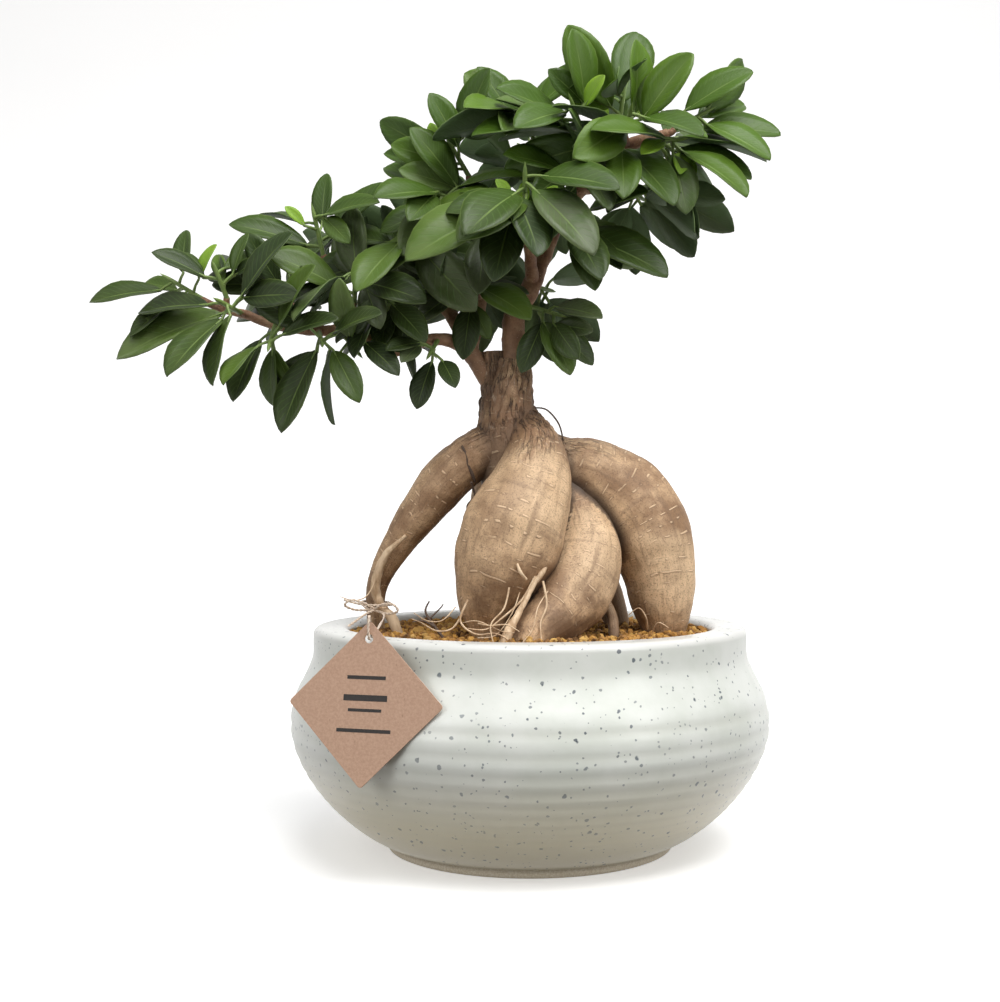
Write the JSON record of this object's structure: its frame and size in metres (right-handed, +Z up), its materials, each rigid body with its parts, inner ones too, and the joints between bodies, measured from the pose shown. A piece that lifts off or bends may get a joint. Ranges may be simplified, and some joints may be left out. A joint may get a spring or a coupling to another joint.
{
  "type": "bonsai tree in a pot",
  "caption": "Small grafted fig bonsai with swollen exposed roots and a leaning crown of glossy leaves, in a round glazed bowl with a card tag.",
  "frame": {"origin": "middle of the whole object's footprint, on the surface that the bowl's foot stands on", "axes": "+Z up, -Y to the front, where the card tag hangs, and +X to the right, away from the long left branch"},
  "size_m": [0.2832, 0.1972, 0.3407],
  "materials": {
    "glaze": "satin",
    "plastic_mesh": "matte",
    "soil": "matte",
    "bark": "matte",
    "pale_root": "matte",
    "leaf": "satin",
    "card": "matte",
    "twine": "matte"
  },
  "bodies": {
    "root": {"aerial_root_front": "pale_root", "aerial_root_left": "pale_root", "bowl": "glaze", "drain_mesh": "plastic_mesh", "potting_soil": "soil", "rootstock": "bark", "shoot_back_left_low": "leaf", "shoot_back_low": "leaf", "shoot_branch_front": "leaf", "shoot_crest_back": "leaf", "shoot_crest_front": "leaf", "shoot_crest_left": "leaf", "shoot_crest_left_back": "leaf", "shoot_crest_mid": "leaf", "shoot_crest_top": "leaf", "shoot_far_right": "leaf", "shoot_fore_right": "leaf", "shoot_heart": "leaf", "shoot_heart_right": "leaf", "shoot_inner_fan": "leaf", "shoot_inner_low": "leaf", "shoot_left_behind": "leaf", "shoot_left_crown": "leaf", "shoot_left_crown_back": "leaf", "shoot_left_end": "leaf", "shoot_left_hanging": "leaf", "shoot_left_middle": "leaf", "shoot_left_second": "leaf", "shoot_left_shoulder": "leaf", "shoot_left_small": "leaf", "shoot_left_third": "leaf", "shoot_left_under": "leaf", "shoot_low_right": "leaf", "shoot_low_right_back": "leaf", "shoot_neck_back": "leaf", "shoot_neck_front": "leaf", "shoot_outer_back": "leaf", "shoot_outer_low": "leaf", "shoot_right_back": "leaf", "shoot_right_shelf": "leaf", "shoot_rosette_back": "leaf", "shoot_rosette_front": "leaf", "shoot_shelf_back": "leaf", "shoot_shelf_left": "leaf", "shoot_shelf_mid": "leaf", "shoot_spur_left": "leaf", "shoot_under_fork": "leaf", "stem_left": "bark", "stem_right": "bark", "tag": "card", "tag_twine": "twine"}
  },
  "joints": []
}
